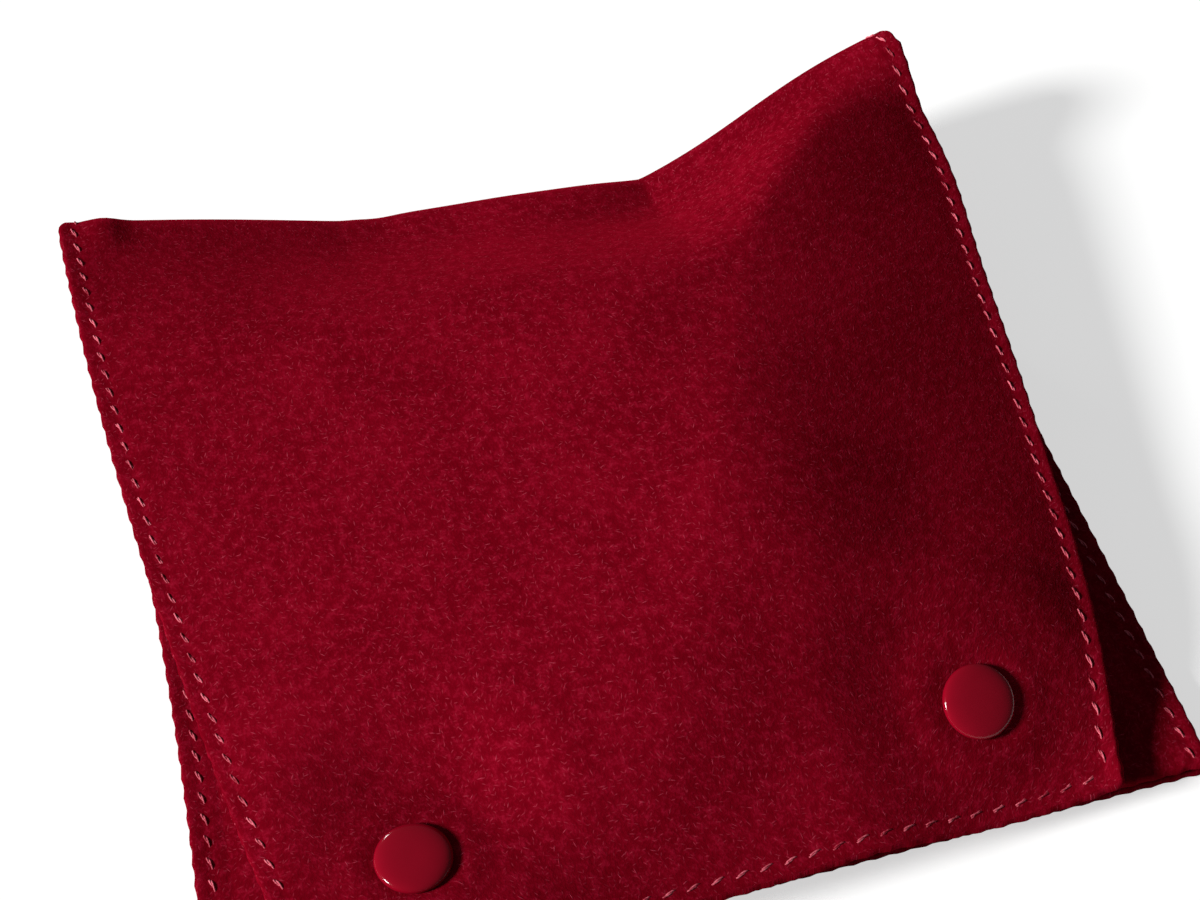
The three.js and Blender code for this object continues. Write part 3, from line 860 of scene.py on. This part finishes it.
def cap_profile():
    """Post rolled out at its end, flat underside, rolled rim and low dome."""
    radius = CAP_DIAMETER / 2
    roll_bottom = ROLL_TOP - POST_ROLL_HEIGHT
    roll_radius = POST_RADIUS + POST_ROLL
    profile = [(0, roll_bottom), (roll_radius, roll_bottom), (roll_radius, ROLL_TOP)]
    profile += [(POST_RADIUS, ROLL_TOP), (POST_RADIUS, CLEARANCE)]
    rim = CAP_RIM / 2
    for turn in np.linspace(-np.pi / 2, 0, CAP_RIM_STEPS):
        profile.append((radius - rim + rim * math.cos(turn), CLEARANCE + rim + rim * math.sin(turn)))
    for turn in np.linspace(0, np.pi / 2, DOME_STEPS + 1)[1:-1]:
        height = CLEARANCE + rim + (CAP_HEIGHT - rim) * math.sin(turn) ** DOME_FULLNESS
        profile.append((radius * math.cos(turn) ** DOME_FULLNESS, height))
    profile.append((0, CLEARANCE + CAP_HEIGHT))
    return profile


caps = []
for name, seat in SEATS.items():
    vertices, faces = turned_mesh(cap_profile())
    upright = Vector((0, 0, 1)).rotation_difference(seat["normal"]).to_matrix()
    outer_face = seat_centre(seat) + seat["normal"] * PANEL / 2
    placed = vertices @ np.array(upright).T + np.array(outer_face)
    cap = mesh_object(f"{name}_cap_enamelled", placed, faces, enamel)
    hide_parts(f"{name}_cap")
    caps.append(cap)

for node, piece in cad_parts.items():
    if node.endswith(("_socket", "_spring", "_stud", "_rivet")):
        piece.data.materials.clear()
        piece.data.materials.append(steel)

for piece in (long_piece, front_piece, outer_thread, inner_thread, pocket_thread, *caps):
    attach(piece, "root")


# Floor, lights and camera


def pale_floor():
    """Matt uncoated paper sweep: pale, with a faint mottle of pulp and no gloss."""
    material, tree, shader = new_material("matt_paper")
    place = add_node(tree, "ShaderNodeTexCoord").outputs["Object"]
    pulp = add_node(
        tree, "ShaderNodeTexNoise", {"Vector": place, "Scale": 1 / (PAPER_PULP * MM), "Detail": 3.0}
    )
    colour = add_node(
        tree,
        "ShaderNodeMix",
        {"Factor": pulp.outputs[0], "A": linear(PAPER_DULL), "B": linear(PAPER_BRIGHT)},
        data_type="RGBA",
    )
    tree.links.new(colour.outputs["Result"], shader.inputs["Base Color"])
    path = add_node(tree, "ShaderNodeLightPath")
    seen = add_node(
        tree,
        "ShaderNodeMath",
        {0: path.outputs["Is Camera Ray"], 1: path.outputs["Is Glossy Ray"]},
        operation="ADD",
    )
    seen_through = add_node(
        tree,
        "ShaderNodeMath",
        {0: seen.outputs[0], 1: path.outputs["Is Transmission Ray"]},
        operation="MAXIMUM",
    )
    glow = add_node(
        tree, "ShaderNodeMath", {0: seen_through.outputs[0], 1: FLOOR_GLOW}, operation="MULTIPLY"
    )
    tree.links.new(glow.outputs[0], shader.inputs["Emission Strength"])
    set_sockets(shader, Roughness=0.9, Specular_IOR_Level=0.1, Emission_Color=(1, 1, 1, 1))
    return material


angles = 2 * np.pi * np.arange(FLOOR_SIDES) / FLOOR_SIDES
disc = np.stack([np.cos(angles), np.sin(angles), np.zeros(FLOOR_SIDES)], axis=-1) * FLOOR_RADIUS / MM
floor = mesh_object("floor", disc, [tuple(range(FLOOR_SIDES))], pale_floor())

sun = bpy.data.objects.new("key_light", bpy.data.lights.new("key_light", "SUN"))
sun.data.energy = SUN_ENERGY
sun.data.angle = SUN_SPREAD
to_light = Vector((math.cos(SUN_AZIMUTH), math.sin(SUN_AZIMUTH), math.tan(SUN_ELEVATION)))
sun.rotation_mode = "QUATERNION"
sun.rotation_quaternion = to_light.to_track_quat("Z", "Y")
bpy.context.scene.collection.objects.link(sun)

window = bpy.data.objects.new("window_light", bpy.data.lights.new("window_light", "AREA"))
window.data.size = WINDOW_SIZE
window.data.energy = WINDOW_ENERGY
window.location = WINDOW_DIRECTION * WINDOW_DISTANCE
window.rotation_mode = "QUATERNION"
window.rotation_quaternion = WINDOW_DIRECTION.to_track_quat("Z", "Y")
bpy.context.scene.collection.objects.link(window)

world = bpy.data.worlds.new("studio")
world.use_nodes = True
world.node_tree.nodes["Background"].inputs["Color"].default_value = linear(SKY)
world.node_tree.nodes["Background"].inputs["Strength"].default_value = SKY_STRENGTH
bpy.context.scene.world = world
bpy.context.scene.view_settings.view_transform = "Standard"

camera = bpy.data.objects.new("camera", bpy.data.cameras.new("camera"))
back = Vector(
    (
        math.sin(CAMERA_AZIMUTH) * math.cos(CAMERA_ELEVATION),
        -math.cos(CAMERA_AZIMUTH) * math.cos(CAMERA_ELEVATION),
        math.sin(CAMERA_ELEVATION),
    )
)
camera.location = CAMERA_TARGET + back * CAMERA_DISTANCE
camera.rotation_mode = "QUATERNION"
camera.rotation_quaternion = back.to_track_quat("Z", "Y")
camera.data.sensor_width = SENSOR_WIDTH
camera.data.lens = SENSOR_WIDTH * FOCAL_PIXELS / PHOTO_WIDTH
camera.data.clip_start = CLIP_START
bpy.context.scene.collection.objects.link(camera)
bpy.context.scene.camera = camera

bpy.context.view_layer.update()
